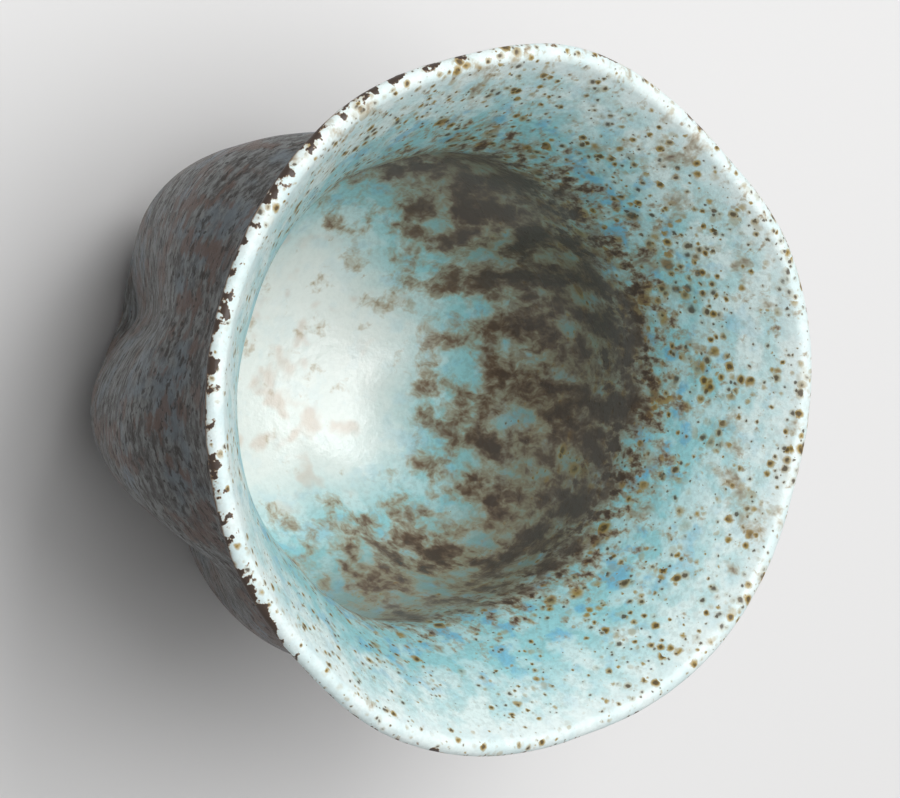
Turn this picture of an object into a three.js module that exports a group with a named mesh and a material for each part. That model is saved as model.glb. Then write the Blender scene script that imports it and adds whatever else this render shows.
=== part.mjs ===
// A six-lobed stoneware tea cup with a flared mouth, upright on its foot ring, axis along +Z.
// A pressed clay wall carries a ring luted into its underside and three coats of fired glaze.
import * as THREE from "three";

// Foot ring and underside, in millimetres
const FOOT_HEIGHT = 2.6; // table to underside
const FOOT_OUTER_RADIUS = 14.5;
const FOOT_WIDTH = 3.4; // across the ring where it is luted on
const FOOT_DRAFT = 0.5; // lean of both flanks of the ring
const FOOT_EDGE = 0.4; // worn bevel of the standing edges
const SEAT_DEPTH = 0.6; // how far the ring is let into the underside
const LUTE_GAP = 0.3; // slip beside the ring in its seat
const HEEL_LEDGE = 1.2; // flat left outside the seat, in a groove
const HEEL_BAND = 1.6; // bare turned band above the heel

// Heights up the wall, each from the one before
const BELLY_RISE = 27.8;
const NECK_RISE = 10.6;
const FLARE_RISE = 18.2;

// Radii of the clay over a lobe crest
const BELLY_RADIUS = 31;
const NECK_RADIUS = 27.9;
const MOUTH_RADIUS = 36.65;

// Pull of the wall's curves along their end directions
const HEEL_SPREAD = 7;
const BELLY_PULL = 10;
const WAIST_PULL = 4;
const NECK_PULL = 5;
const FLARE_PULL = 5.3;
const FLOOR_SPREAD = 20;
const HEEL_ANGLE = THREE.MathUtils.degToRad(20); // wall above the level, at the heel
const FLARE_ANGLE = THREE.MathUtils.degToRad(42); // wall out from upright, at the lip

// Thicknesses of the clay
const BELLY_WALL = 4.2;
const NECK_WALL = 1.9;
const LIP_THICKNESS = 1.4;
const FLOOR_THICKNESS = 3.4;

// Lobes and the grooves between them
const LOBES = 6;
const HEEL_GROOVE = 0.8;
const LOBE_GROOVE = 5.2;
const NECK_GROOVE = 1.2;
const LIP_GROOVE = 0.5;
const LIP_DIP = 0.4; // lip lower in a groove than on a crest
const GROOVE_THINNING = 2.2; // wall lost where a groove is deepest
const GROOVE_LOW_RISE = 7.4; // full depth from here
const GROOVE_HIGH_RISE = 19.4; // up to here
const GROOVE_SOFTNESS = 0.25; // 0 is a sharp crease
const PLAIN_FLOOR_RADIUS = 6; // round middle of the floor, where no ridge reaches

// Fired coats
const BOND_GAP = 0.12; // where coat and clay have melted together
const INSIDE_GLAZE = 0.5;
const OUTSIDE_GLAZE = 0.35;
const BASE_GLAZE = 0.35;
const BASE_GLAZE_MARGIN = 0.6; // wiped clear beside the ring
const COAT_EDGE = 0.45; // part of its thickness that a coat keeps at its edge
const BARE_LIP = 0.7; // clay below the turn of the lip, where the outside coat stops
const LINING_EDGE_ANGLE = THREE.MathUtils.degToRad(0); // where the lining ends on the turn, 0 is outermost

// Steps of the round form
const SEGMENTS = 60;
const BOWL_STEPS = 6;
const WAIST_STEPS = 4;
const FLARE_STEPS = 5;
const BARE_TURN_STEPS = 1;
const LIP_STEPS = 3;

const { smoothstep, lerp } = THREE.MathUtils;
const at = (radius, height) => new THREE.Vector2(radius, height);

// Levels and radii that several pieces share
const bellyHeight = FOOT_HEIGHT + BELLY_RISE;
const neckHeight = bellyHeight + NECK_RISE;
const lipHeight = neckHeight + FLARE_RISE;
const floorHeight = FOOT_HEIGHT + FLOOR_THICKNESS;
const seatHeight = FOOT_HEIGHT + SEAT_DEPTH;
const footInnerRadius = FOOT_OUTER_RADIUS - FOOT_WIDTH;
const seatInnerRadius = footInnerRadius - LUTE_GAP;
const seatOuterRadius = FOOT_OUTER_RADIUS + LUTE_GAP;
const heelRadius = seatOuterRadius + HEEL_LEDGE + HEEL_GROOVE;

// Depth of the outer grooves at a height
function grooveDepth(height) {
  const low = FOOT_HEIGHT + GROOVE_LOW_RISE;
  const high = FOOT_HEIGHT + GROOVE_HIGH_RISE;
  if (height < low) return lerp(HEEL_GROOVE, LOBE_GROOVE, smoothstep(height, FOOT_HEIGHT, low));
  if (height < neckHeight) return lerp(LOBE_GROOVE, NECK_GROOVE, smoothstep(height, high, neckHeight));
  return lerp(NECK_GROOVE, LIP_GROOVE, smoothstep(height, neckHeight, lipHeight));
}

// Height of the ridges inside, which die out over the floor
function ridgeHeight({ x, y }) {
  const depth = grooveDepth(y) * (1 - GROOVE_THINNING / LOBE_GROOVE);
  return depth * smoothstep(x, PLAIN_FLOOR_RADIUS, PLAIN_FLOOR_RADIUS + heelRadius);
}

// The clay's half section, round from the middle of the underside to the middle of the floor
function claySection() {
  const up = at(Math.sin(FLARE_ANGLE), Math.cos(FLARE_ANGLE));
  const out = at(up.y, -up.x);
  const lipRadius = LIP_THICKNESS / 2;
  const lip = at(MOUTH_RADIUS - lipRadius, lipHeight - lipRadius);
  const lipOutside = lip.clone().addScaledVector(out, lipRadius);
  const lipInside = lip.clone().addScaledVector(out, -lipRadius);
  const flareEnd = lipOutside.clone().addScaledVector(up, -BARE_LIP);

  const heel = at(heelRadius, FOOT_HEIGHT);
  const heelWay = at(Math.cos(HEEL_ANGLE), Math.sin(HEEL_ANGLE));
  const wallStart = heel.clone().addScaledVector(heelWay, HEEL_BAND);
  const belly = at(BELLY_RADIUS, bellyHeight);
  const neck = at(NECK_RADIUS, neckHeight);
  const bellyInside = at(BELLY_RADIUS - BELLY_WALL, bellyHeight);
  const neckInside = at(NECK_RADIUS - NECK_WALL, neckHeight);
  const floor = at(0, floorHeight);

  const line = (a, b) => new THREE.LineCurve(a, b);
  const bend = (a, pullA, b, pullB) =>
    new THREE.CubicBezierCurve(a, a.clone().add(pullA), b.clone().add(pullB), b);

  const underside = [
    [line(at(0, FOOT_HEIGHT), at(seatInnerRadius, FOOT_HEIGHT)), 1],
    [line(at(seatInnerRadius, FOOT_HEIGHT), at(seatInnerRadius, seatHeight)), 1],
    [line(at(seatInnerRadius, seatHeight), at(seatOuterRadius, seatHeight)), 1],
    [line(at(seatOuterRadius, seatHeight), at(seatOuterRadius, FOOT_HEIGHT)), 1],
    [line(at(seatOuterRadius, FOOT_HEIGHT), heel), 1],
  ];
  const heelBand = [[line(heel, wallStart), 1]];
  const outside = [
    [bend(wallStart, heelWay.clone().multiplyScalar(HEEL_SPREAD), belly, at(0, -BELLY_PULL)), BOWL_STEPS],
    [bend(belly, at(0, WAIST_PULL), neck, at(0, -WAIST_PULL)), WAIST_STEPS],
    [bend(neck, at(0, NECK_PULL), flareEnd, up.clone().multiplyScalar(-FLARE_PULL)), FLARE_STEPS],
  ];
  const lipTurn = (start, end) =>
    new THREE.EllipseCurve(lip.x, lip.y, lipRadius, lipRadius, start, end, false, 0);
  const bareLip = [
    [line(flareEnd, lipOutside), 1],
    [lipTurn(-FLARE_ANGLE, LINING_EDGE_ANGLE), BARE_TURN_STEPS],
  ];
  const inside = [
    [lipTurn(LINING_EDGE_ANGLE, Math.PI - FLARE_ANGLE), LIP_STEPS],
    [bend(lipInside, up.clone().multiplyScalar(-FLARE_PULL), neckInside, at(0, NECK_PULL)), FLARE_STEPS],
    [bend(neckInside, at(0, -WAIST_PULL), bellyInside, at(0, WAIST_PULL)), WAIST_STEPS],
    [bend(bellyInside, at(0, -BELLY_PULL), floor, at(FLOOR_SPREAD, 0)), BOWL_STEPS],
  ];

  // A run's points leave out its first one, which ends the run before
  const pointsOf = (runs) => runs.flatMap(([curve, steps]) => curve.getPoints(steps).slice(1));
  const under = [at(0, FOOT_HEIGHT), ...pointsOf(underside)];
  const outer = [...pointsOf(heelBand), ...pointsOf(outside)];
  const bare = pointsOf(bareLip);
  const inner = [...bare, ...pointsOf(inside)];

  const underRows = under.map((p) => ({ p, groove: p === under.at(-1) ? HEEL_GROOVE : 0 }));
  const outerRows = outer.map((p) => ({ p, groove: grooveDepth(p.y) }));
  const lipRows = bare.length + LIP_STEPS;
  const innerRows = inner.map((p, i) => {
    const shareInside = Math.min(i / lipRows, 1);
    return { p, groove: lerp(grooveDepth(p.y), ridgeHeight(p), shareInside) };
  });
  const rows = [...underRows, ...outerRows, ...innerRows];
  for (const row of rows) row.dip = LIP_DIP * smoothstep(row.p.y, neckHeight, lipHeight);
  return {
    rows,
    outsideStart: under.length,
    outsideEnd: under.length + outer.length - 1,
    insideStart: under.length + outer.length + bare.length - 1,
  };
}

// A row moved out from the clay along the section's normal, with the clay's own groove and dip
function movedOut(rows, index, distance) {
  const before = rows[Math.max(index - 1, 0)].p;
  const after = rows[Math.min(index + 1, rows.length - 1)].p;
  const way = after.clone().sub(before).normalize();
  const row = rows[index];
  const p = row.p.clone().addScaledVector(at(way.y, -way.x), distance);
  if (row.p.x === 0) p.x = 0;
  return { ...row, p };
}

// A coat of glaze over the clay from one row to another, thinner at an edge that isn't on the axis
function coat(rows, first, last, thickness) {
  const face = [];
  const back = [];
  for (let index = first; index <= last; index++) {
    const isEdge = (index === first || index === last) && rows[index].p.x > 0;
    face.push(movedOut(rows, index, BOND_GAP + thickness * (isEdge ? COAT_EDGE : 1)));
    back.unshift(movedOut(rows, index, BOND_GAP));
  }
  return rows[last].p.x === 0 ? [...back, ...face] : [...face, ...back, face[0]];
}

// Four-sided facets are split along their shorter diagonal, so both flanks of a groove mirror each other
function splitAcrossTheShorterWay(geometry) {
  const { index } = geometry;
  const position = geometry.getAttribute("position");
  const corner = (i) => new THREE.Vector3().fromBufferAttribute(position, i);
  for (let k = 0; k < index.count; k += 6) {
    const [a, b, d, c] = [0, 1, 2, 3].map((step) => index.getX(k + step));
    const otherWay = corner(a).distanceTo(corner(c));
    if (otherWay >= corner(b).distanceTo(corner(d))) continue;
    [a, b, c, c, d, a].forEach((vertex, step) => index.setX(k + step, vertex));
  }
}

// A half section turned about the axis, with each row drawn in at the grooves
function turned(rows) {
  const points = rows.map(({ p }) => p);
  const geometry = new THREE.LatheGeometry(points, SEGMENTS).rotateX(Math.PI / 2);
  const position = geometry.getAttribute("position");
  const crest = Math.hypot(1, GROOVE_SOFTNESS) - GROOVE_SOFTNESS;
  for (let i = 0; i < position.count; i++) {
    const { p, groove, dip } = rows[i % rows.length];
    const angle = Math.atan2(position.getY(i), position.getX(i));
    const swell = Math.hypot(Math.cos((LOBES / 2) * angle), GROOVE_SOFTNESS) - GROOVE_SOFTNESS;
    const drawnIn = 1 - swell / crest;
    const radius = p.x - groove * drawnIn;
    position.setXYZ(i, radius * Math.cos(angle), radius * Math.sin(angle), p.y - dip * drawnIn);
  }
  splitAcrossTheShorterWay(geometry);
  geometry.computeVertexNormals();
  return geometry;
}

// A plain round half section, without grooves
const plain = (points) => turned(points.map((p) => ({ p, groove: 0, dip: 0 })));

// The ring the cup stands on, let into its seat in the underside
function footRing() {
  const outerBottom = FOOT_OUTER_RADIUS - FOOT_DRAFT;
  const innerBottom = footInnerRadius + FOOT_DRAFT;
  const outline = [
    at(innerBottom + FOOT_EDGE, 0),
    at(outerBottom - FOOT_EDGE, 0),
    at(outerBottom, FOOT_EDGE),
    at(FOOT_OUTER_RADIUS, seatHeight),
    at(footInnerRadius, seatHeight),
    at(innerBottom, FOOT_EDGE),
  ];
  return plain([...outline, outline[0]]);
}

// The pool of glaze in the recess that the ring encloses
function baseGlaze() {
  const radius = footInnerRadius - BASE_GLAZE_MARGIN;
  const top = FOOT_HEIGHT - BOND_GAP;
  const bottom = top - BASE_GLAZE;
  return plain([at(0, bottom), at(radius - BASE_GLAZE, bottom), at(radius, top), at(0, top)]);
}

function piece(name, geometry, color, roughness) {
  const material = new THREE.MeshStandardMaterial({ color, roughness, metalness: 0 });
  const mesh = new THREE.Mesh(geometry, material);
  mesh.name = name;
  return mesh;
}

const { rows, outsideStart, outsideEnd, insideStart } = claySection();
const insideCoat = coat(rows, insideStart, rows.length - 1, INSIDE_GLAZE);
const outsideCoat = coat(rows, outsideStart, outsideEnd, OUTSIDE_GLAZE);

const cup = new THREE.Group();
cup.name = "tea_cup";
cup.add(
  piece("clay_body", turned(rows), 0x3a2a22, 0.85),
  piece("foot_ring", footRing(), 0x3a2a22, 0.9),
  piece("inside_glaze", turned(insideCoat), 0x9cc7cf, 0.2),
  piece("outside_glaze", turned(outsideCoat), 0x4d4642, 0.35),
  piece("base_glaze", baseGlaze(), 0x4d4642, 0.35),
);

export default cup;
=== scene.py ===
# %% [markdown]
# # A six-lobed stoneware tea cup
# The real cup has five parts: a pressed clay body, the ring it stands on, a thick lining of turquoise
# glaze, a thin coat outside and a patch of glaze under the foot. The packed model fixes where each of
# them is. It could be shown as it is, but its facets and plain colours would look like a stand-in.
# So this lesson models each part again, finer, in the same frame, and gives it its fired finish.

# %% Load the packed cup
import math
from typing import NamedTuple

import bmesh
import bpy
from mathutils import Matrix, Vector, noise
from mathutils.geometry import interpolate_bezier


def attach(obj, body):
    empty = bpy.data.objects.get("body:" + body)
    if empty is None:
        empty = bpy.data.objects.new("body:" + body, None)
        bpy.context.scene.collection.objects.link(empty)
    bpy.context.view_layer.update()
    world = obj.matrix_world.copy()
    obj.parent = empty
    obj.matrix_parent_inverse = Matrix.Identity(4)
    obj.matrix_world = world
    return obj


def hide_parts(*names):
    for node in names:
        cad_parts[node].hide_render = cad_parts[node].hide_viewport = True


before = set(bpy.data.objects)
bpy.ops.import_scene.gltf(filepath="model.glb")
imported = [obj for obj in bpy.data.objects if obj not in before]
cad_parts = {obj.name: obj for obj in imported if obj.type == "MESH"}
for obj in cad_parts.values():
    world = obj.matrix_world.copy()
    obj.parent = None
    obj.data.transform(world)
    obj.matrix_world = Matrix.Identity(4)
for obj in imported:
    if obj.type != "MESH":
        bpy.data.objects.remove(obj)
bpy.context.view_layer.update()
MM = 0.001
print("packed pieces:", len(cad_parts))

# %% [markdown]
# ## The camera
# The photograph looks down into the mouth through a long lens, and the cup's axis runs to the right in
# the picture, a little below level. The cup could be laid on its side for that, but the frame is fixed.
# So the camera is tipped instead: it stands off the rim's centre and is rolled until the axis runs right.

# %% Direction of view
VIEW_TURN = math.radians(97.8)  # round the cup from +X
VIEW_RISE = math.radians(57.6)  # above the table
AXIS_FALL = math.radians(8.5)  # the axis below level, in the picture

UP = Vector((0, 0, 1))
to_camera = Vector(
    (
        math.cos(VIEW_RISE) * math.cos(VIEW_TURN),
        math.cos(VIEW_RISE) * math.sin(VIEW_TURN),
        math.sin(VIEW_RISE),
    )
)
axis_seen = (UP - to_camera * UP.dot(to_camera)).normalized()
across_axis = to_camera.cross(axis_seen)
right = axis_seen * math.cos(AXIS_FALL) + across_axis * math.sin(AXIS_FALL)
above = to_camera.cross(right)
print("direction to the camera:", [round(part, 3) for part in to_camera])

# %% Camera
RIM_CENTRE = Vector((0, 0, 59.5)) * MM
VIEW_DISTANCE = 436.6 * MM
RIM_RIGHT_OF_MIDDLE = 7.6 * MM
RIM_ABOVE_MIDDLE = -0.3 * MM
SENSOR_WIDTH = 36
LENS = 170.2

position = RIM_CENTRE + to_camera * VIEW_DISTANCE
aim = RIM_CENTRE - right * RIM_RIGHT_OF_MIDDLE - above * RIM_ABOVE_MIDDLE
backward = (position - aim).normalized()
sideways = (right - backward * right.dot(backward)).normalized()
picture_up = backward.cross(sideways)
turned = Matrix((sideways, picture_up, backward)).transposed()

camera = bpy.data.objects.new("camera", bpy.data.cameras.new("camera"))
camera.data.lens = LENS
camera.data.sensor_width = SENSOR_WIDTH
camera.matrix_world = Matrix.Translation(position) @ turned.to_4x4()
bpy.context.scene.collection.objects.link(camera)
bpy.context.scene.camera = camera
print("camera at, mm:", [round(x / MM, 1) for x in position])

# %% [markdown]
# ## The half section of the clay
# A potter would throw or press this wall over a form, and its half section says nearly everything: a
# heel, a full belly, a drawn-in neck and a flared lip. The section could be a long list of points, but
# four named radii and heights with a smooth bend between each pair are easier to read and to change.
# Sizes here are in millimetres, and each finished mesh is scaled to metres.

# %% Sizes of the section
FOOT_HEIGHT = 2.6
HEEL_RADIUS = 16.8
HEEL_BAND = 1.6  # bare band above the heel
BELLY_RADIUS, BELLY_HEIGHT = 31.0, 30.4
NECK_RADIUS, NECK_HEIGHT = 27.9, 41.0
MOUTH_RADIUS, LIP_HEIGHT = 36.65, 59.2
BELLY_WALL, NECK_WALL, LIP_WALL = 4.2, 1.9, 1.4
FLOOR_HEIGHT = 6.0
HEEL_ANGLE = math.radians(20)  # wall above the level, at the heel
FLARE_ANGLE = math.radians(42)  # wall out from upright, at the lip
BARE_LIP = 0.7  # clay left bare below the turn of the lip
print("clay across the mouth and up to the lip, mm:", 2 * MOUTH_RADIUS, LIP_HEIGHT)

# %% Corners of the section
upward, outward = Vector((0, 1)), Vector((1, 0))
heel_way = Vector((math.cos(HEEL_ANGLE), math.sin(HEEL_ANGLE)))
flare_way = Vector((math.sin(FLARE_ANGLE), math.cos(FLARE_ANGLE)))
lip_radius = LIP_WALL / 2
lip_centre = Vector((MOUTH_RADIUS - lip_radius, LIP_HEIGHT - lip_radius))


def on_lip(turn):
    """A point of the rounded lip, where a turn of 0 is its outermost point."""
    return lip_centre + Vector((math.cos(turn), math.sin(turn))) * lip_radius


heel = Vector((HEEL_RADIUS, FOOT_HEIGHT))
wall_start = heel + heel_way * HEEL_BAND
flare_end = on_lip(-FLARE_ANGLE) - flare_way * BARE_LIP
belly = Vector((BELLY_RADIUS, BELLY_HEIGHT))
neck = Vector((NECK_RADIUS, NECK_HEIGHT))
belly_inside = belly - Vector((BELLY_WALL, 0))
neck_inside = neck - Vector((NECK_WALL, 0))
floor_middle = Vector((0, FLOOR_HEIGHT))
print("outer wall ends at, mm:", [round(part, 1) for part in (*wall_start, *flare_end)])

# %% Bends of the section
CURVE_POINTS = 90  # a bend is first drawn this finely
HEEL_SPREAD, BELLY_PULL, WAIST_PULL = 7, 10, 4  # how far a bend is held to its end's direction
NECK_PULL, FLARE_PULL, FLOOR_SPREAD = 5, 5.3, 20


def bend(start, pull_start, end, pull_end):
    """A smooth run from start to end, without its first point."""
    return interpolate_bezier(start, start + pull_start, end + pull_end, end, CURVE_POINTS)[1:]


wall_outside = [
    wall_start,
    *bend(wall_start, heel_way * HEEL_SPREAD, belly, -upward * BELLY_PULL),
    *bend(belly, upward * WAIST_PULL, neck, -upward * WAIST_PULL),
    *bend(neck, upward * NECK_PULL, flare_end, -flare_way * FLARE_PULL),
]
wall_inside = [
    *bend(on_lip(math.pi - FLARE_ANGLE), -flare_way * FLARE_PULL, neck_inside, upward * NECK_PULL),
    *bend(neck_inside, -upward * WAIST_PULL, belly_inside, upward * WAIST_PULL),
    *bend(belly_inside, -upward * BELLY_PULL, floor_middle, outward * FLOOR_SPREAD),
]
print("section points outside and inside:", len(wall_outside), len(wall_inside))

# %% [markdown]
# ## Grooves that press the round wall into lobes
# Before the clay was dry, six grooves were pressed into the belly from outside. They are deepest low on
# the belly, fade at the neck and leave the mouth gently scalloped. Sculpting them would be slow to
# repeat in every layer, so each row of the section carries how far a groove draws it in, and how far
# the lip dips there. Inside, the same grooves show as softer ridges that die out on the floor.

# %% Depth of the grooves
LOBES = 6
HEEL_GROOVE, BELLY_GROOVE, NECK_GROOVE, LIP_GROOVE = 0.8, 5.2, 1.2, 0.5
GROOVE_LOW, GROOVE_HIGH = 10.0, 22.0  # heights between which a groove is deepest
GROOVE_SOFTNESS = 0.25  # 0 is a sharp crease
RIDGE_SHARE = 0.58  # of a groove's depth that shows inside
PLAIN_FLOOR_RADIUS = 6


def ease(value, low, high):
    """0 up to low, 1 from high on, and a smooth rise between."""
    share = min(max((value - low) / (high - low), 0), 1)
    return share * share * (3 - 2 * share)


def between(low, high, share):
    return low + (high - low) * share


def groove_depth(height):
    if height < GROOVE_LOW:
        return between(HEEL_GROOVE, BELLY_GROOVE, ease(height, FOOT_HEIGHT, GROOVE_LOW))
    if height < NECK_HEIGHT:
        return between(BELLY_GROOVE, NECK_GROOVE, ease(height, GROOVE_HIGH, NECK_HEIGHT))
    return between(NECK_GROOVE, LIP_GROOVE, ease(height, NECK_HEIGHT, LIP_HEIGHT))


def ridge_height(point):
    spread = ease(point.x, PLAIN_FLOOR_RADIUS, PLAIN_FLOOR_RADIUS + HEEL_RADIUS)
    return groove_depth(point.y) * RIDGE_SHARE * spread


def drawn_in(angle):
    """1 in the middle of a groove and 0 on the crest of a lobe."""
    swell = math.hypot(math.cos(LOBES / 2 * angle), GROOVE_SOFTNESS) - GROOVE_SOFTNESS
    return 1 - swell / (math.hypot(1, GROOVE_SOFTNESS) - GROOVE_SOFTNESS)


print("ridge inside the belly, mm:", round(ridge_height(belly_inside), 2))

# %% Rows of the section
LIP_DIP = 0.4
LIP_ROWS = 24


class Row(NamedTuple):
    """One row of a section: its place over a crest, and what a groove does to it."""

    point: Vector
    groove: float
    dip: float


def row(point, share_inside):
    groove = between(groove_depth(point.y), ridge_height(point), share_inside)
    return Row(point, groove, LIP_DIP * ease(point.y, NECK_HEIGHT, LIP_HEIGHT))


def lip_rows(first_turn, last_turn):
    """Rows round the lip, from its outside towards its inside."""
    turns = [between(first_turn, last_turn, step / LIP_ROWS) for step in range(LIP_ROWS + 1)]
    return [row(on_lip(turn), (turn + FLARE_ANGLE) / math.pi) for turn in turns]


outside_rows = [row(point, 0) for point in wall_outside]
bare_lip_rows = lip_rows(-FLARE_ANGLE, 0)
glazed_lip_rows = lip_rows(0, math.pi - FLARE_ANGLE)
inside_rows = [row(point, 1) for point in wall_inside]
print("deepest groove, mm:", round(max(each.groove for each in outside_rows), 2))

# %% [markdown]
# ## Rows where a piece needs them
# A bead of glaze at a free edge needs rows a few hundredths of a millimetre apart, and a wall that
# another piece covers needs only one row every millimetre or two. The section is therefore measured
# along its length, and each piece picks rows at distances of its own.

# %% Rows at given distances
ON_AXIS = 0.01  # a row this close to the axis is put on it, so that its pole closes


def lengths_along(rows):
    lengths = [0.0]
    for before, after in zip(rows, rows[1:]):
        lengths.append(lengths[-1] + (after.point - before.point).length)
    return lengths


def pick(rows, stations):
    """Rows at the given distances along a section."""
    lengths = lengths_along(rows)
    picked, place = [], 0
    for station in stations:
        while place < len(rows) - 2 and lengths[place + 1] < station:
            place += 1
        before, after = rows[place], rows[place + 1]
        share = (station - lengths[place]) / (lengths[place + 1] - lengths[place])
        point = before.point.lerp(after.point, min(max(share, 0), 1))
        if point.x < ON_AXIS:
            point.x = 0
        groove = between(before.groove, after.groove, share)
        picked.append(Row(point, groove, between(before.dip, after.dip, share)))
    return picked


def evenly(start, end, step):
    """Distances from start to end, no more than step apart."""
    count = max(1, math.ceil((end - start) / step))
    return [between(start, end, index / count) for index in range(count + 1)]


lining_clay = glazed_lip_rows + inside_rows
lining_length = lengths_along(lining_clay)[-1]
print("lining from lip to floor, mm:", round(lining_length, 1))


# %% Rows moved off the clay
def moved_out(rows, distances):
    """Rows moved off the clay along the section's normal."""
    moved = []
    for index, (old, distance) in enumerate(zip(rows, distances)):
        before = rows[max(index - 1, 0)].point
        after = rows[min(index + 1, len(rows) - 1)].point
        way = (after - before).normalized()
        point = old.point + Vector((way.y, -way.x)) * distance
        if old.point.x < ON_AXIS:
            point = Vector((0, old.point.y + distance))
        moved.append(Row(point, old.groove, old.dip))
    return moved


lifted_floor = moved_out(inside_rows[-2:], [0, 1])[-1].point
print("the floor's middle, moved out by 1 mm, lies at:", [round(part, 2) for part in lifted_floor])

# %% [markdown]
# ## Turning a section on the wheel
# A wheel makes a pot by turning one profile about one axis, and Blender's spin does the same. An even
# stack of rings could be joined face by face, but spin needs only the profile's points. Every point
# carries the number of its row, and spin copies that number round, so the lobes can be pressed in
# afterwards. A small sway of the grooves and of the wall keeps the cup from looking machined.

# %% Spin a profile
WALL_STEPS = 420
MERGE_DISTANCE = 1e-5


def spin_profile(rows, closed, steps):
    """A mesh of the rows turned about the upright axis, in millimetres."""
    mesh = bmesh.new()
    number = mesh.verts.layers.int.new("row")
    profile = []
    for index, each in enumerate(rows):
        vert = mesh.verts.new((each.point.x, 0, each.point.y))
        vert[number] = index
        profile.append(vert)
    edges = [mesh.edges.new(pair) for pair in zip(profile, profile[1:])]
    if closed:
        edges.append(mesh.edges.new((profile[-1], profile[0])))
    bmesh.ops.spin(
        mesh,
        geom=profile + edges,
        cent=(0, 0, 0),
        axis=(0, 0, 1),
        dvec=(0, 0, 0),
        angle=math.tau,
        steps=steps,
        use_merge=True,
    )
    bmesh.ops.remove_doubles(mesh, verts=mesh.verts, dist=MERGE_DISTANCE)
    bmesh.ops.recalc_face_normals(mesh, faces=mesh.faces)
    return mesh


print("steps round the wall:", WALL_STEPS)

# %% Unevenness of hand work
LIP_PRESSES = ((340, 1.0, 30), (120, 0.5, 30), (30, 0.4, 22), (150, 0.4, 22))  # place, depth, reach


def round_noise(angle, height, turns, rise):
    """Smooth noise from -1 to 1 on a ring, so it meets itself."""
    return noise.noise(Vector((turns * math.cos(angle), turns * math.sin(angle), height / rise)))


def thumbed(angle):
    """How far thumbs flattened the lip while it was soft, at an angle round it."""
    depth = 0.0
    for place, press, reach in LIP_PRESSES:
        off = (math.degrees(angle) - place + 180) % 360 - 180
        depth += press * max(1 - (off / reach) ** 2, 0) ** 2
    return depth


deepest_press = max(thumbed(math.radians(degrees)) for degrees in range(360))
print("deepest press of the lip, mm:", round(deepest_press, 2))

# %% Press the lobes
LOBE_SWAY = 0.018  # radians that a groove strays from its place
HAND_UNEVENNESS = 0.16
INWARD_SHIFT = 0.9  # keeps the uneven wall inside the packed one
LIP_UNEVENNESS = 0.22


def press_lobes(mesh, rows):
    """Draws each row in at the grooves, with the unevenness of hand work."""
    number = mesh.verts.layers.int["row"]
    for vert in mesh.verts:
        each = rows[vert[number]]
        angle = math.atan2(vert.co.y, vert.co.x)
        height = each.point.y
        near_lip = ease(height, NECK_HEIGHT, LIP_HEIGHT)
        inward = drawn_in(angle + LOBE_SWAY * round_noise(angle, height, turns=1.2, rise=30))
        uneven = HAND_UNEVENNESS * (INWARD_SHIFT - round_noise(angle, height + 90, turns=1.6, rise=16))
        uneven *= ease(each.point.x, 0, HEEL_RADIUS) * ease(height, FOOT_HEIGHT, GROOVE_LOW)
        uneven += thumbed(angle) * near_lip
        low_lip = LIP_UNEVENNESS * (0.5 + 0.5 * round_noise(angle, 200, turns=1.1, rise=10))
        radius = each.point.x - each.groove * inward - uneven
        vert.co.x = radius * math.cos(angle)
        vert.co.y = radius * math.sin(angle)
        vert.co.z = height - each.dip * inward - low_lip * near_lip


print("sway of a groove at the belly, mm:", round(LOBE_SWAY * BELLY_RADIUS, 2))


# %% Put a piece into the frame
def finished_piece(name, mesh, finish, node):
    """Puts a mesh into the frame in place of a packed node."""
    bmesh.ops.scale(mesh, vec=(MM, MM, MM), verts=mesh.verts)
    data = bpy.data.meshes.new(name)
    mesh.to_mesh(data)
    mesh.free()
    data.polygons.foreach_set("use_smooth", [True] * len(data.polygons))
    data.materials.append(finish)
    piece = bpy.data.objects.new(name, data)
    bpy.context.scene.collection.objects.link(piece)
    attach(piece, "root")
    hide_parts(node)
    triangles = sum(len(face.vertices) - 2 for face in data.polygons)
    print(name, "triangles:", triangles)


# %% [markdown]
# ## A helper for fired finishes
# Each finish is a tree of procedural nodes. Writing every node and link by hand would bury the recipe,
# so two small classes give the few steps that a glaze needs: first the arithmetic and a smooth
# threshold, then soft noise, scattered cells, a colour mix and the surface they make together. All
# their sizes are millimetres on the piece itself.

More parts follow.
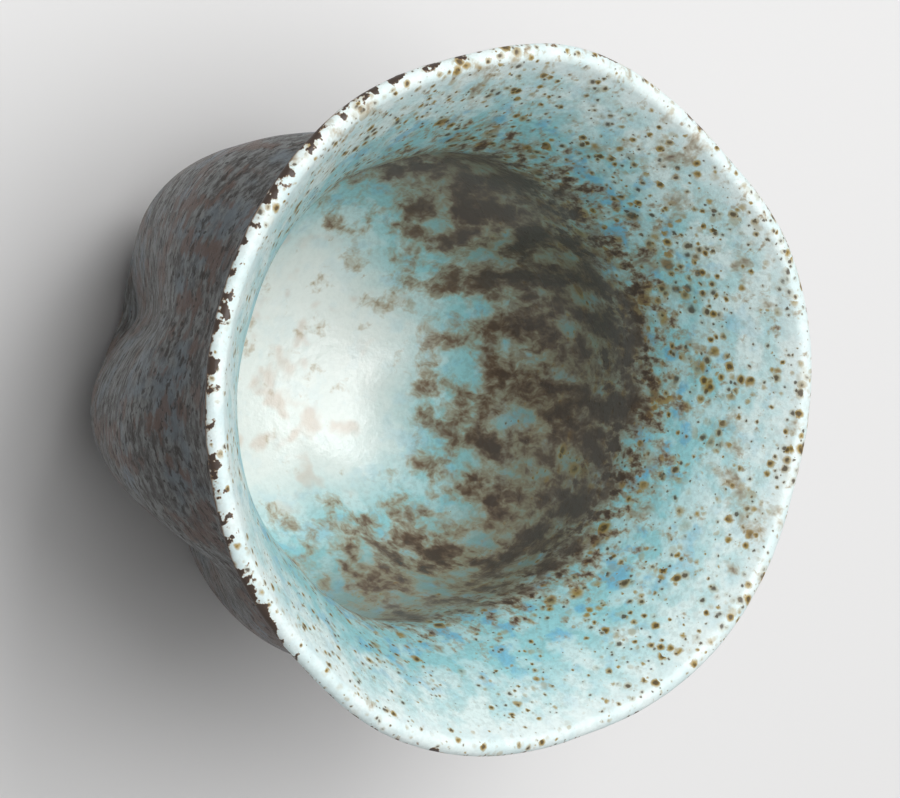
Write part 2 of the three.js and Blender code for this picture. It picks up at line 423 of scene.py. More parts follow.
# %% Finish helper: arithmetic
class Recipe:
    """The node tree of one material, with the arithmetic that any finish needs."""

    def __init__(self, name):
        self.material = bpy.data.materials.new(name)
        self.material.use_nodes = True
        self.tree = self.material.node_tree
        self.tree.nodes.clear()
        self.shader = self.tree.nodes.new("ShaderNodeBsdfPrincipled")
        output = self.tree.nodes.new("ShaderNodeOutputMaterial")
        self.tree.links.new(self.shader.outputs["BSDF"], output.inputs["Surface"])
        coordinates = self.tree.nodes.new("ShaderNodeTexCoord")
        self.where = self.vector("SCALE", coordinates.outputs["Object"], scale=1 / MM)

    def put(self, socket, value):
        """Links a node's result to a socket, or sets a plain value on it."""
        if isinstance(value, bpy.types.NodeSocket):
            self.tree.links.new(value, socket)
        else:
            socket.default_value = value

    def vector(self, operation, *values, scale=None):
        node = self.tree.nodes.new("ShaderNodeVectorMath")
        node.operation = operation
        for socket, value in zip(node.inputs, values):
            self.put(socket, value)
        if scale is not None:
            self.put(node.inputs["Scale"], scale)
        return node.outputs["Vector"]

    def math(self, operation, first, *others):
        """Values joined by one operation, two at a time."""
        for other in others:
            node = self.tree.nodes.new("ShaderNodeMath")
            node.operation = operation
            self.put(node.inputs[0], first)
            self.put(node.inputs[1], other)
            first = node.outputs["Value"]
        return first

    def product(self, *values):
        return self.math("MULTIPLY", *values)

    def total(self, *values):
        return self.math("ADD", *values)

    def highest(self, *values):
        return self.math("MAXIMUM", *values)

    def step(self, value, start, end, low=0.0, high=1.0):
        """A smooth change from low to high while value goes from start to end."""
        node = self.tree.nodes.new("ShaderNodeMapRange")
        node.interpolation_type = "SMOOTHSTEP"
        names = ("Value", "From Min", "From Max", "To Min", "To Max")
        for name, given in zip(names, (value, start, end, low, high)):
            self.put(node.inputs[name], given)
        return node.outputs["Result"]


print("steps of a recipe:", [name for name in vars(Recipe) if not name.startswith("_")])

# %% Finish helper: patterns and surface
MIX_UNDER, MIX_OVER, MIX_RESULT = 6, 7, 2  # places of a mix node's colour sockets


class Finish(Recipe):
    """A recipe with the patterns of a fired finish and the surface they make."""

    def noise(self, size, detail=2.0, roughness=0.5, where=None, shift=0.0, output="Fac"):
        """Soft noise with lumps about size across."""
        node = self.tree.nodes.new("ShaderNodeTexNoise")
        place = self.vector("ADD", where or self.where, (shift, shift, shift))
        self.put(node.inputs["Vector"], place)
        self.put(node.inputs["Scale"], 1 / size)
        self.put(node.inputs["Detail"], detail)
        self.put(node.inputs["Roughness"], roughness)
        return node.outputs[output]

    def cells(self, size, where, shift=0.0):
        """Scattered points about size apart: the distance to the nearest, and two numbers of its own."""
        node = self.tree.nodes.new("ShaderNodeTexVoronoi")
        self.put(node.inputs["Vector"], self.vector("ADD", where, (shift, shift, shift)))
        self.put(node.inputs["Scale"], 1 / size)
        distance = self.product(node.outputs["Distance"], size)
        parts = self.tree.nodes.new("ShaderNodeSeparateColor")
        self.put(parts.inputs["Color"], node.outputs["Color"])
        return distance, parts.outputs["Red"], parts.outputs["Green"]

    def loosened(self, amount, size, shift=0.0):
        """Coordinates pushed about by noise, so that nothing drawn on them stays round."""
        push = self.noise(size, shift=shift, output="Color")
        centred = self.vector("SUBTRACT", push, (0.5, 0.5, 0.5))
        return self.vector("ADD", self.where, self.vector("SCALE", centred, scale=amount))

    def along(self, way):
        """How far each point lies along a direction, in millimetres from the foot's centre."""
        node = self.tree.nodes.new("ShaderNodeVectorMath")
        node.operation = "DOT_PRODUCT"
        self.put(node.inputs[0], self.where)
        self.put(node.inputs[1], way)
        return node.outputs["Value"]

    def attribute(self, name):
        node = self.tree.nodes.new("ShaderNodeAttribute")
        node.attribute_name = name
        return node.outputs["Fac"]

    def mix(self, share, under, over):
        """The colour under, covered by the colour over where share is 1."""
        node = self.tree.nodes.new("ShaderNodeMix")
        node.data_type = "RGBA"
        self.put(node.inputs["Factor"], share)
        for place, value in ((MIX_UNDER, under), (MIX_OVER, over)):
            self.put(node.inputs[place], (*value, 1.0) if isinstance(value, tuple) else value)
        return node.outputs[MIX_RESULT]

    def surface(self, colour, roughness, relief, depth):
        """Joins colour, roughness and a relief of the given depth to the shader."""
        bump = self.tree.nodes.new("ShaderNodeBump")
        self.put(bump.inputs["Height"], relief)
        self.put(bump.inputs["Distance"], depth * MM)
        self.put(bump.inputs["Strength"], 1.0)
        self.put(self.shader.inputs["Normal"], bump.outputs["Normal"])
        self.put(self.shader.inputs["Base Color"], colour)
        self.put(self.shader.inputs["Roughness"], roughness)
        return self.material


print("patterns of a finish:", [name for name in vars(Finish) if not name.startswith("_")])

# %% [markdown]
# ## The turquoise lining: its glaze
# The glaze is an opaque, milky turquoise over iron-rich clay. Iron grains melt through it as brown
# specks with ochre halos, and deeper in the cup, where the coat is uneven, they run together into tan
# and brown blotches, drawn out down the wall. Painting that by hand would not repeat, so scattered
# cells give the specks, noise gives the blotches, and the height in the cup decides how many there are.
# The deep wall, its darkest blotch cores and the side turned from the lamps are darker still, partly
# as painted shade.

# %% Lining glaze: ground colour
PALE_TURQUOISE = (0.74, 0.875, 0.865)
TURQUOISE = (0.32, 0.64, 0.68)
# grey-green of the sugary grain, also laid over the deep wall partly as painted shade
GREY_GREEN_GRAIN_AND_DEEP_SHADE = (0.19, 0.265, 0.235)
FLOOR_CREAM = (0.80, 0.83, 0.79)
# Each pair is the heights at which a change of the ground starts and is complete
MILKY_TO_LIP = (46.5, 58.5)
GREY_BELOW_NECK = (44.0, 34.0)
GREY_ABOVE_FLOOR = (13.0, 26.0)
CREAM_ON_FLOOR = (15.5, 7.5)
DEEP_GREY_AND_SHADE_SHARE, CREAM_SHARE = 0.7, 0.9
CLOUD_SIZE = 3.4

lining = Finish("turquoise_lining_glaze")
cup_height = lining.along(UP)
lip_nearness = lining.step(cup_height, *MILKY_TO_LIP)
below_neck = lining.step(cup_height, *GREY_BELOW_NECK)
deep_grey_and_shade = lining.product(below_neck, lining.step(cup_height, *GREY_ABOVE_FLOOR))
floor_share = lining.step(cup_height, *CREAM_ON_FLOOR)
clouds = lining.noise(CLOUD_SIZE, detail=3.0, roughness=0.55)
milkiness = lining.total(
    lining.step(clouds, 0.38, 0.62, -0.3, 0.3),
    lining.step(lip_nearness, 0.0, 1.0, 0.05, 0.85),
)
ground = lining.mix(milkiness, TURQUOISE, PALE_TURQUOISE)
# the deep wall turns grey-green: partly the glaze's own colour, partly painted shade of the deep wall
ground = lining.mix(lining.product(deep_grey_and_shade, DEEP_GREY_AND_SHADE_SHARE), ground, GREY_GREEN_GRAIN_AND_DEEP_SHADE)
ground = lining.mix(lining.product(floor_share, CREAM_SHARE), ground, FLOOR_CREAM)
print("ground colour nodes:", len(lining.tree.nodes))

# %% Lining glaze: blue patches, sugary grain and pale lip with a painted highlight
SKY_BLUE = (0.17, 0.48, 0.68)
LIP_WHITE_AND_HIGHLIGHT = (0.81, 0.88, 0.87)
SKY_SIZE, SUGAR_SIZE = 2.6, 0.6
PALE_LIP_AND_HIGHLIGHT = (5.0, 1.5)  # distances from the edge over which the lip turns white: thicker glaze and a painted highlight

from_edge = lining.attribute("from_edge")
off_floor = lining.step(floor_share, 0.0, 1.0, 1.0, 0.2)
sky_patches = lining.noise(SKY_SIZE, detail=3.0, shift=31.0)
sky_share = lining.product(
    lining.step(sky_patches, 0.52, 0.66),
    lining.step(lip_nearness, 0.0, 1.0, 0.85, 0.15),
    off_floor,
    lining.step(cup_height, 22.0, 44.0, 0.35, 1.0),
)
ground = lining.mix(sky_share, ground, SKY_BLUE)
sugar = lining.noise(SUGAR_SIZE, detail=3.0, roughness=0.65, shift=17.0)
sugar_share = lining.product(lining.step(sugar, 0.58, 0.36, 0.0, 0.24), off_floor)
ground = lining.mix(sugar_share, ground, GREY_GREEN_GRAIN_AND_DEEP_SHADE)
# the last millimetres of the lip turn white: partly thicker glaze, partly a painted highlight
ground = lining.mix(lining.step(from_edge, *PALE_LIP_AND_HIGHLIGHT, 0.0, 0.55), ground, LIP_WHITE_AND_HIGHLIGHT)
print("nodes with patches and grain:", len(lining.tree.nodes))


# %% Iron specks
FEWER_LARGE = 1.1  # above 1, small specks outnumber large ones
SMALLEST_SPECK = 0.01


def iron_specks(finish, spacing, largest, gathering, shift):
    """How much of a dark core, and of an ochre halo, covers each point."""
    place = finish.loosened(0.4 * spacing, 0.5 * spacing, shift)
    distance, chance, tone = finish.cells(spacing, place, shift)
    size = finish.product(finish.math("POWER", chance, FEWER_LARGE), largest, gathering)
    reach = finish.math("DIVIDE", distance, finish.highest(size, SMALLEST_SPECK))
    halo = finish.product(finish.step(reach, 1.85, 0.8), finish.step(tone, 0.1, 0.9, 0.3, 0.95))
    return finish.step(reach, 1.0, 0.45), halo


print("smallest speck, mm:", SMALLEST_SPECK)

# %% Lining glaze: where specks gather
SHADED_SPECKLED_SIDE = (0.91, -0.41, 0.0)  # more specks and blotches on this side, which faces away from the lamps: partly more iron, partly painted shade
CLUSTER_SIZE = 4.6

towards_shaded_side = lining.along(SHADED_SPECKLED_SIDE)
clusters = lining.noise(CLUSTER_SIZE, shift=57.0)
gathering = lining.product(
    lining.step(clusters, 0.38, 0.60, 0.55, 1.25),
    lining.step(towards_shaded_side, -25.0, 25.0, 0.85, 1.2),
    lining.step(cup_height, 14.0, 40.0, 0.0, 1.0),
    lining.step(from_edge, 1.0, 5.0, 1.1, 1.0),
)
neck_gathering = lining.product(gathering, lining.step(cup_height, 56.0, 44.0, 0.8, 1.5))
print("nodes with gathering:", len(lining.tree.nodes))

# %% Lining glaze: specks
OCHRE = (0.35, 0.23, 0.04)
IRON_BROWN = (0.055, 0.034, 0.014)
FINE_HALO, SMUDGE, CORE = 0.4, 0.5, 0.88  # how strongly each of them colours the glaze

fine_cores, fine_halos = iron_specks(lining, 0.80, largest=0.19, gathering=gathering, shift=5.0)
clear_cores, clear_halos = iron_specks(lining, 1.0, largest=0.34, gathering=gathering, shift=66.0)
large_cores, large_halos = iron_specks(lining, 1.9, largest=0.48, gathering=neck_gathering, shift=41.0)
_, smudges = iron_specks(lining, 1.6, largest=0.36, gathering=gathering, shift=112.0)
speck_cores = lining.highest(fine_cores, clear_cores, large_cores)
faint_halos = lining.product(fine_halos, FINE_HALO)
speck_halos = lining.highest(clear_halos, large_halos, faint_halos, lining.product(smudges, SMUDGE))
speckled = lining.mix(speck_halos, ground, OCHRE)
speckled = lining.mix(lining.product(speck_cores, CORE), speckled, IRON_BROWN)
print("nodes with specks:", len(lining.tree.nodes))

# %% Lining glaze: where blotches lie
RUN_DOWN = 0.55  # below 1, blotches are drawn out down the wall
BLOTCH_ROUGHNESS = 0.64
DEEP_SIZE, NECK_SIZE = 3.6, 1.4


def blotch_cover(finish, size, detail, bar, shift):
    """By how much noise of a size stands over a bar."""
    loose = finish.loosened(0.35 * size, 0.6 * size, shift)
    place = finish.vector("MULTIPLY", loose, (1.0, 1.0, RUN_DOWN))
    lumps = finish.noise(size, detail, BLOTCH_ROUGHNESS, where=place, shift=shift)
    return finish.math("SUBTRACT", lumps, bar)


# the deep wall on the side turned from the lamps gets more blotches: partly more iron there, partly
# painted shade
shaded_side_bar = lining.step(towards_shaded_side, -22.0, 16.0, 0.0, -0.085)
deep_bar = lining.total(
    lining.product(shaded_side_bar, lining.step(cup_height, 11.0, 25.0, 0.2, 1.0)),
    lining.step(cup_height, 37.0, 49.0, 0.51, 0.74),
    lining.step(cup_height, 19.0, 7.5, 0.0, 0.18),
)
neck_bar = lining.total(
    lining.step(cup_height, 41.0, 54.0, 0.55, 0.78),
    shaded_side_bar,
    lining.step(cup_height, 38.0, 28.0, 0.0, 0.35),
)
deep_blotches = blotch_cover(lining, DEEP_SIZE, 4.0, deep_bar, shift=83.0)
neck_blotches = blotch_cover(lining, NECK_SIZE, 3.0, neck_bar, shift=29.0)
blotch_over = lining.highest(deep_blotches, neck_blotches)
print("nodes with blotches:", len(lining.tree.nodes))

# %% Lining glaze: colour of the blotches
TAN = (0.36, 0.26, 0.12)
BLOTCH_BROWN = (0.165, 0.092, 0.054)
BLOTCH_CORE = (0.058, 0.035, 0.025)
WARM_STAIN = (0.58, 0.43, 0.33)
STAIN_SIZE = 4.0

stains = lining.step(lining.noise(STAIN_SIZE, shift=127.0), 0.55, 0.70, 0.0, 0.5)
blotched = lining.mix(lining.product(stains, floor_share), speckled, WARM_STAIN)
blotched = lining.mix(lining.step(blotch_over, -0.12, 0.02, 0.0, 0.65), blotched, TAN)
blotched = lining.mix(lining.step(blotch_over, -0.04, 0.10, 0.0, 0.85), blotched, BLOTCH_BROWN)
# the darkest cores are weak on the lit floor and full on the deep wall: real cores, made darker there as
# painted shade
dense_cores_and_deep_shade = lining.product(
    lining.step(blotch_over, 0.02, 0.16, 0.0, 0.9),
    lining.step(cup_height, 9.0, 22.0, 0.2, 1.0),
)
blotched = lining.mix(dense_cores_and_deep_shade, blotched, BLOTCH_CORE)
print("nodes with blotch colours:", len(lining.tree.nodes))

# %% Lining glaze: burnt edge
RUST = (0.22, 0.12, 0.045)
BURNT_EDGE = (0.040, 0.024, 0.016)
BURNT_SIDE = (-0.14, 0.99, 0.0)  # the edge of the glaze is barest on this side
BITE_SIZE = 1.6

bites = lining.noise(BITE_SIZE, detail=3.0, roughness=0.6, shift=140.0)
ragged = lining.total(
    from_edge,
    lining.step(bites, 0.42, 0.68, 0.2, -0.75),
    lining.step(lining.along(BURNT_SIDE), 32.0, 6.0, 0.0, 0.58),
)
glazed = lining.mix(lining.step(ragged, 0.62, 0.42), blotched, RUST)
glazed = lining.mix(lining.step(ragged, 0.50, 0.36), glazed, BURNT_EDGE)
print("nodes with the burnt edge:", len(lining.tree.nodes))

# %% Lining glaze: surface
LINING_IOR = 1.45
PEEL_SIZE = 1.0  # lumps of the glaze's orange-peel surface
RELIEF_DEPTH = 0.10
SPECK_PIT, SPECK_ROUGHNESS = 0.25, 0.12

orange_peel = lining.noise(PEEL_SIZE, detail=4.0, roughness=0.6, shift=9.0)
relief = lining.math("SUBTRACT", orange_peel, lining.product(speck_cores, SPECK_PIT))
lining_roughness = lining.total(
    lining.step(cup_height, 12.0, 34.0, 0.12, 0.34),
    lining.step(from_edge, *PALE_LIP_AND_HIGHLIGHT, 0.0, 0.1),
    lining.product(speck_cores, SPECK_ROUGHNESS),
)
lining.shader.inputs["IOR"].default_value = LINING_IOR
lining_glaze = lining.surface(glazed, lining_roughness, relief, RELIEF_DEPTH)
print("lining glaze nodes:", len(lining.tree.nodes))

# %% [markdown]
# ## The turquoise lining: its body
# The lining is about half a millimetre thick. It covers the floor and the wall, rolls over the lip and
# ends there in a rounded, ragged bead. A plain offset of the clay would end in a square step, so its
# thickness rises from nothing over the first half millimetre, and noise moves its edge along the lip.

# %% The free edge of a coat
BEAD_WIDTH = 0.5
EDGE_STATIONS = (0, 0.02, 0.06, 0.12, 0.2, 0.3, 0.42, 0.56, 0.72, 0.9)
RAGGED_EDGE = 0.22
RAGGED_REACH = 1.0


def bead(distance):
    """The share of its thickness that a coat has at a distance from its free edge."""
    return math.sqrt(max(1 - (1 - min(distance / BEAD_WIDTH, 1)) ** 2, 0))


def section_ways(rows):
    """The direction of a section at each of its rows."""
    befores, afters = [rows[0], *rows], [*rows[1:], rows[-1]]
    return [(after.point - before.point).normalized() for before, after in zip(befores, afters)]


def pull_edge(mesh, stations, ways):
    """Moves a coat's free edge to and fro along the section."""
    number = mesh.verts.layers.int["row"]
    for vert in mesh.verts:
        distance, way = stations[vert[number]], ways[vert[number]]
        if distance >= RAGGED_REACH:
            continue
        angle = math.atan2(vert.co.y, vert.co.x)
        waves = round_noise(angle, 0, turns=22, rise=1)
        nicks = round_noise(angle, 7, turns=60, rise=1)
        pull = RAGGED_EDGE * (waves + 0.6 * nicks)
        pull *= 1 - ease(distance, 0, RAGGED_REACH)
        pull *= 1 if way.y > 0 else -1
        vert.co += Vector((way.x * math.cos(angle), way.x * math.sin(angle), way.y)) * pull


print("share of thickness along the bead:", [round(bead(distance), 2) for distance in EDGE_STATIONS])

# %% The face of a coat
PEBBLE_SIZE, SMALL_PEBBLE_SIZE = 2.3, 1.3
PEBBLE_SINK = 0.8  # keeps the pebbles inside the packed coat


def mark_distances(mesh, stations):
    """Keeps each point's distance from the free edge for its finish."""
    number = mesh.verts.layers.int["row"]
    mark = mesh.verts.layers.float.new("from_edge")
    for vert in mesh.verts:
        vert[mark] = stations[vert[number]]


def pebble(mesh, face_count, depth):
    """Gives the face of a coat the soft unevenness of melted glaze."""
    mesh.normal_update()
    number = mesh.verts.layers.int["row"]
    lifts = []
    for vert in mesh.verts:
        lift = 0.0
        if vert[number] < face_count:
            lift = noise.noise(vert.co / PEBBLE_SIZE) + 0.5 * noise.noise(vert.co / SMALL_PEBBLE_SIZE)
        lifts.append(vert.normal * (lift - PEBBLE_SINK) * depth)
    for vert, lift in zip(mesh.verts, lifts):
        vert.co += lift


print("pebbles across, mm:", PEBBLE_SIZE, SMALL_PEBBLE_SIZE)

# %% Lining rows
BOND_GAP = 0.12
LINING_THICKNESS = 0.42
LIP_REACH = 2.4  # the lip's turn needs fine rows this far
LIP_FACE_STEP, LIP_BACK_STEP = 0.12, 0.2
FACE_STEP, BACK_STEP = 0.68, 1.8

face_stations = [
    *EDGE_STATIONS,
    *evenly(1.0, LIP_REACH, LIP_FACE_STEP),
    *evenly(LIP_REACH + 0.4, lining_length, FACE_STEP),
]
back_stations = [
    *evenly(0.12, LIP_REACH, LIP_BACK_STEP),
    *evenly(LIP_REACH + 1, lining_length, BACK_STEP),
]
lining_lift = [BOND_GAP + LINING_THICKNESS * bead(distance) for distance in face_stations]
lining_face = moved_out(pick(lining_clay, face_stations), lining_lift)
lining_back = moved_out(pick(lining_clay, back_stations), [BOND_GAP] * len(back_stations))
lining_rows = lining_face[::-1] + lining_back
lining_stations = face_stations[::-1] + back_stations
print("lining rows on its face and back:", len(lining_face), len(lining_back))

# %% Lining mesh
LINING_PEBBLES = 0.035

lining_mesh = spin_profile(lining_rows, closed=False, steps=WALL_STEPS)
press_lobes(lining_mesh, lining_rows)
pull_edge(lining_mesh, lining_stations, section_ways(lining_rows))
mark_distances(lining_mesh, lining_stations)
pebble(lining_mesh, len(lining_face), LINING_PEBBLES)
finished_piece("turquoise_lining", lining_mesh, lining_glaze, "inside_glaze")

# %% [markdown]
# ## The thin coat outside
# Outside, the same glaze was wiped on thinly while the cup turned. It broke over the dark clay into short
# marks that lie round the cup, in greys and nearly black, with fields of grey-blue and of red-brown.
# One noise could not give them all, so the coordinates are squeezed upright to stretch the marks, and
# a grey ground gets its fields, its marks and then dark specks that crowd together here and there.

# %% Thin coat: finish
GREY = (0.175, 0.188, 0.186)
DARK_GREY = (0.040, 0.037, 0.034)
GREY_BLUE = (0.14, 0.178, 0.205)
RED_BROWN = (0.105, 0.060, 0.044)
NEARLY_BLACK = (0.022, 0.018, 0.015)
COAT_IOR = 1.5
WIPED_ROUND = 3.2  # how much longer a mark is round the cup than upright


def broken_coat(name, dark_edge):
    """A thin glaze that has broken over dark clay, in marks that lie round the cup."""
    coat = Finish(name)
    coat.shader.inputs["IOR"].default_value = COAT_IOR
    wiped = coat.vector("MULTIPLY", coat.loosened(0.5, 0.9, shift=3.0), (1.0, 1.0, WIPED_ROUND))
    tone = coat.noise(2.0, detail=4.0, roughness=0.68, where=wiped, shift=44.0)
    colour = coat.mix(coat.step(tone, 0.40, 0.62), DARK_GREY, GREY)
    blue = coat.noise(5.5, detail=3.0, roughness=0.55, shift=13.0)
    colour = coat.mix(coat.step(blue, 0.50, 0.66, 0.0, 0.75), colour, GREY_BLUE)
    brown_marks = coat.noise(2.4, detail=4.0, roughness=0.65, where=wiped, shift=71.0)
    brown = coat.total(brown_marks, coat.noise(4.5, shift=64.0))
    colour = coat.mix(coat.step(brown, 1.00, 1.16, 0.0, 0.8), colour, RED_BROWN)
    marks = coat.noise(1.5, detail=3.0, roughness=0.65, where=wiped, shift=88.0)
    crowding = coat.step(coat.noise(3.0, shift=96.0), 0.35, 0.65, 0.4, 1.0)
    specks, _ = iron_specks(coat, 1.0, largest=0.40, gathering=crowding, shift=18.0)
    dark = coat.highest(specks, coat.product(coat.step(marks, 0.54, 0.64), 0.9))
    colour = coat.mix(coat.product(dark, 0.9), colour, NEARLY_BLACK)
    if dark_edge:
        edge = coat.total(coat.attribute("from_edge"), coat.step(tone, 0.35, 0.65, 0.3, -0.3))
        colour = coat.mix(coat.step(edge, 0.6, 0.2), colour, NEARLY_BLACK)
    grain = coat.noise(0.8, detail=3.0, roughness=0.6, where=wiped)
    relief = coat.math("SUBTRACT", grain, coat.product(dark, 0.4))
    return coat.surface(colour, coat.step(dark, 0.0, 1.0, 0.42, 0.62), relief, RELIEF_DEPTH)


thin_coat_glaze = broken_coat("thin_mottled_glaze", dark_edge=True)
print("thin coat nodes:", len(thin_coat_glaze.node_tree.nodes))

# %% Thin coat: rows
THIN_COAT = 0.3
COAT_STEP = 0.7

coat_length = lengths_along(outside_rows)[-1]
upper_edge = [coat_length - distance for distance in EDGE_STATIONS]
coat_stations = [*EDGE_STATIONS, *evenly(1.2, coat_length - 1.2, COAT_STEP), *upper_edge[::-1]]
coat_back_stations = [0.12, *evenly(0.6, coat_length - 0.6, BACK_STEP), coat_length - 0.12]


def to_free_edge(stations):
    """Distances from the nearer of the coat's two free edges."""
    return [min(station, coat_length - station) for station in stations]


coat_lift = [BOND_GAP + THIN_COAT * bead(distance) for distance in to_free_edge(coat_stations)]
coat_face = moved_out(pick(outside_rows, coat_stations), coat_lift)
coat_back = moved_out(pick(outside_rows, coat_back_stations), [BOND_GAP] * len(coat_back_stations))
coat_rows = coat_face + coat_back[::-1]
coat_marks = to_free_edge(coat_stations + coat_back_stations[::-1])
print("coat rows on its face and back:", len(coat_face), len(coat_back))

# %% Thin coat: mesh
COAT_PEBBLES = 0.03

coat_mesh = spin_profile(coat_rows, closed=True, steps=WALL_STEPS)
press_lobes(coat_mesh, coat_rows)
mark_distances(coat_mesh, coat_marks)
pebble(coat_mesh, len(coat_face), COAT_PEBBLES)
finished_piece("thin_outside_coat", coat_mesh, thin_coat_glaze, "outside_glaze")

# %% [markdown]
# ## The clay body
# Under the coats is one shell of dark, iron-rich stoneware. It shows as a line along the outer edge of
# the lip, where the two coats stop, and as a band round the heel. It could be left out where the coats
# cover it, but then a look from below or a thin spot would show a hollow, so it is modelled whole.

# %% Bare clay: finish
CLAY = (0.050, 0.031, 0.022)
DARK_CLAY = (0.024, 0.016, 0.012)
WORN_CLAY = (0.12, 0.078, 0.055)
GRAIN_SPACING = 0.7
WORN_HEIGHT = 0.9  # wear from tables reaches up to here


def bare_clay(name, worn):
    """Unglazed stoneware with iron grains, paler where it is worn."""
    clay = Finish(name)
    tone = clay.noise(1.4, detail=4.0, roughness=0.6, shift=23.0)
    colour = clay.mix(clay.step(tone, 0.4, 0.62), DARK_CLAY, CLAY)
    if worn:
        low = clay.step(clay.along(UP), WORN_HEIGHT, 0.0)
        colour = clay.mix(clay.product(low, clay.step(tone, 0.3, 0.6, 0.4, 1.0)), colour, WORN_CLAY)
    distance, chance, _ = clay.cells(GRAIN_SPACING, clay.loosened(0.3, 0.5))
    grain_size = clay.step(chance, 0.4, 1.0, 0.02, 0.2)
    grains = clay.step(clay.math("DIVIDE", distance, grain_size), 1.2, 0.6)
    colour = clay.mix(clay.product(grains, 0.7), colour, DARK_CLAY)
    relief = clay.total(clay.noise(0.45, detail=4.0, roughness=0.65), clay.product(grains, 0.4))
    return clay.surface(colour, clay.step(tone, 0.3, 0.7, 0.68, 0.85), relief, RELIEF_DEPTH)


body_clay = bare_clay("bare_stoneware", worn=False)
print("bare clay nodes:", len(body_clay.node_tree.nodes))

# %% Clay body: rows
SEAT_HEIGHT = 3.2
SEAT_INNER_RADIUS, SEAT_OUTER_RADIUS = 10.8, 14.8
UNDERSIDE = (
    (0, FOOT_HEIGHT),
    (SEAT_INNER_RADIUS, FOOT_HEIGHT),
    (SEAT_INNER_RADIUS, SEAT_HEIGHT),
    (SEAT_OUTER_RADIUS, SEAT_HEIGHT),
    (SEAT_OUTER_RADIUS, FOOT_HEIGHT),
)
HEEL_STEP, BARE_STEP, LIP_STEP, HIDDEN_STEP = 0.2, 0.1, 0.15, 1.5

under_rows = [Row(Vector(corner), 0, 0) for corner in UNDERSIDE]
heel_distances = evenly(0, HEEL_BAND - HEEL_STEP, HEEL_STEP)
bare_distances = evenly(BARE_STEP, BARE_LIP - BARE_STEP, BARE_STEP)
clay_rows = [
    *under_rows,
    *[row(heel + heel_way * distance, 0) for distance in heel_distances],
    *pick(outside_rows, evenly(0, coat_length, HIDDEN_STEP)),
    *[row(flare_end + flare_way * distance, 0) for distance in bare_distances],
    *bare_lip_rows,
    *pick(glazed_lip_rows, evenly(0.1, lengths_along(glazed_lip_rows)[-1], LIP_STEP)),
    *pick(inside_rows, evenly(0.3, lengths_along(inside_rows)[-1], HIDDEN_STEP)),
]
print("clay rows:", len(clay_rows))

# %% Clay body: mesh
clay_mesh = spin_profile(clay_rows, closed=False, steps=WALL_STEPS)
press_lobes(clay_mesh, clay_rows)
finished_piece("pressed_clay_body", clay_mesh, body_clay, "clay_body")

# %% [markdown]
# ## The foot ring
# The ring was rolled, luted into a shallow seat and trimmed, and its standing face is worn smooth by
# tables. Nothing of it shows in the photograph, so it has the plain tapered form such cups have. A
# bevel of its few corners by hand is avoided: small arcs in the profile are turned with the rest.

# %% Foot ring
FOOT_OUTER_RADIUS, FOOT_INNER_RADIUS = 14.5, 11.1
FOOT_DRAFT = 0.5
FOOT_ROUNDING = 0.4
CORNER_POINTS = 5
CORNER_PULL = 0.6
FOOT_STEPS = 260


def rounded(corner, before, after, radius):
    """A corner of a profile turned into a short smooth bend."""
    start = corner + (before - corner).normalized() * radius
    end = corner + (after - corner).normalized() * radius
    pulls = start.lerp(corner, CORNER_PULL), end.lerp(corner, CORNER_PULL)
    return interpolate_bezier(start, *pulls, end, CORNER_POINTS)


foot_corners = [
    Vector((FOOT_INNER_RADIUS + FOOT_DRAFT, 0)),
    Vector((FOOT_OUTER_RADIUS - FOOT_DRAFT, 0)),
    Vector((FOOT_OUTER_RADIUS, SEAT_HEIGHT)),
    Vector((FOOT_INNER_RADIUS, SEAT_HEIGHT)),
]
foot_points = []
for index, corner in enumerate(foot_corners):
    after = foot_corners[(index + 1) % len(foot_corners)]
    foot_points += rounded(corner, foot_corners[index - 1], after, FOOT_ROUNDING)
foot_mesh = spin_profile([Row(point, 0, 0) for point in foot_points], closed=True, steps=FOOT_STEPS)
foot_clay = bare_clay("worn_foot_stoneware", worn=True)
finished_piece("luted_foot_ring", foot_mesh, foot_clay, "foot_ring")

# %% [markdown]
# ## The glaze under the foot
# A dab of the thin coat fills the recess inside the ring. It is wiped clear of the ring so that it does
# not stick in the kiln. A flat disc would do, but melted glaze draws back to a soft edge, so its
# section ends in the same rounded bead as the other coats.

# %% Base glaze
BASE_RADIUS = 10.5
BASE_THICKNESS = 0.32
BASE_STEP = 0.6

base_top = FOOT_HEIGHT - BOND_GAP
base_stations = [*EDGE_STATIONS, *evenly(1.2, BASE_RADIUS, BASE_STEP)]
base_points = [
    Vector((BASE_RADIUS - distance, base_top - BASE_THICKNESS * bead(distance)))
    for distance in base_stations[::-1]
]
base_points.append(Vector((0, base_top)))
base_mesh = spin_profile([Row(point, 0, 0) for point in base_points], closed=False, steps=FOOT_STEPS)
base_glaze = broken_coat("base_recess_glaze", dark_edge=False)
finished_piece("glazed_base_recess", base_mesh, base_glaze, "base_glaze")

# %% [markdown]
# ## Floor and light
# The cup was photographed on a plain pale surface under soft light from the front right. It leaves the
# deep side of the cup dark and shines in the well. One lamp could not do both, and a ring of lamps would
# flatten the inside. So there are three soft boxes, a large one at the front right, a weaker one higher
# up and one that the well mirrors to the camera, in a dim even room.

# %% Floor
FLOOR_SIZE = 6.0
FLOOR_COLOUR = (0.78, 0.777, 0.775)
FLOOR_DARKER = 0.98
FLOOR_CLOUDS = 400.0
FLOOR_ROUGHNESS, FLOOR_RELIEF = 0.8, 0.01

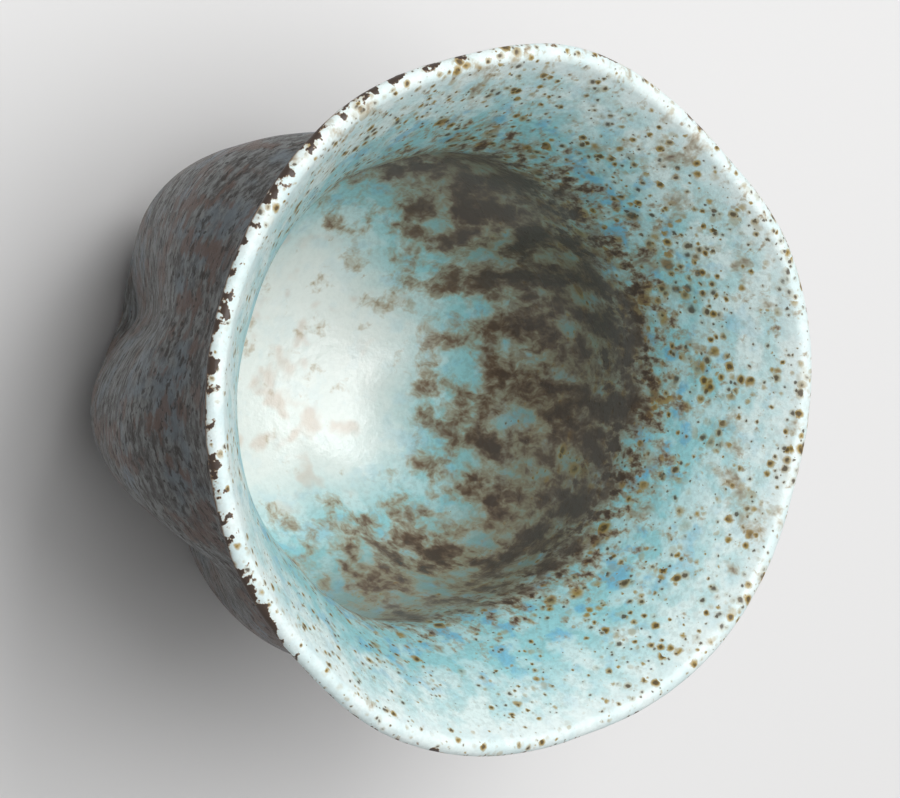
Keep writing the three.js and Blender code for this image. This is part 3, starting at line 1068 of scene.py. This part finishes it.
floor_mesh = bmesh.new()
bmesh.ops.create_grid(floor_mesh, x_segments=1, y_segments=1, size=FLOOR_SIZE / 2)
floor_data = bpy.data.meshes.new("floor")
floor_mesh.to_mesh(floor_data)
floor_mesh.free()
floor_finish = Finish("pale_floor")
floor_tone = floor_finish.noise(FLOOR_CLOUDS)
darker_floor = tuple(FLOOR_DARKER * part for part in FLOOR_COLOUR)
floor_colour = floor_finish.mix(floor_tone, FLOOR_COLOUR, darker_floor)
floor_data.materials.append(floor_finish.surface(floor_colour, FLOOR_ROUGHNESS, floor_tone, FLOOR_RELIEF))
floor = bpy.data.objects.new("floor", floor_data)
bpy.context.scene.collection.objects.link(floor)
print("floor, m:", FLOOR_SIZE)


# %% Lights
def softbox(name, way, distance, size, level):
    """A square soft light that gives a white surface facing it that level of brightness."""
    right_part, up_part, near_part = way  # as seen in the picture
    direction = (sideways * right_part + picture_up * up_part + backward * near_part).normalized()
    data = bpy.data.lights.new(name, "AREA")
    data.shape = "SQUARE"
    data.size = size
    data.energy = (math.pi * distance) ** 2 * level
    lamp = bpy.data.objects.new(name, data)
    lamp.location = RIM_CENTRE + direction * distance
    lamp.rotation_euler = direction.to_track_quat("Z", "Y").to_euler()
    bpy.context.scene.collection.objects.link(lamp)
    print(name, "watts:", round(data.energy, 2))


softbox("front_softbox", way=(0.64, 0.10, 0.76), distance=0.75, size=0.58, level=0.75)
softbox("high_softbox", way=(0.50, 0.55, 0.67), distance=0.80, size=0.40, level=0.30)
softbox("window_softbox", way=(0.27, 0.0, 0.96), distance=0.85, size=0.44, level=0.26)

# %% World
ROOM_LIGHT = 0.13
BACKDROP = 0.82

world = bpy.data.worlds.new("room")
world.use_nodes = True
room_nodes, room_links = world.node_tree.nodes, world.node_tree.links
room = room_nodes["Background"]
light_path = room_nodes.new("ShaderNodeLightPath")
seen_rays = light_path.outputs["Is Camera Ray"]
for kind in ("Is Glossy Ray", "Is Transmission Ray"):
    either = room_nodes.new("ShaderNodeMath")
    either.operation = "MAXIMUM"
    room_links.new(seen_rays, either.inputs[0])
    room_links.new(light_path.outputs[kind], either.inputs[1])
    seen_rays = either.outputs["Value"]
seen = room_nodes.new("ShaderNodeMapRange")
room_links.new(seen_rays, seen.inputs["Value"])
seen.inputs["To Min"].default_value = ROOM_LIGHT
seen.inputs["To Max"].default_value = BACKDROP
room.inputs["Color"].default_value = (1, 1, 1, 1)
room_links.new(seen.outputs["Result"], room.inputs["Strength"])
bpy.context.scene.world = world
bpy.context.scene.view_settings.view_transform = "Standard"
print("room light:", ROOM_LIGHT)

# %% [markdown]
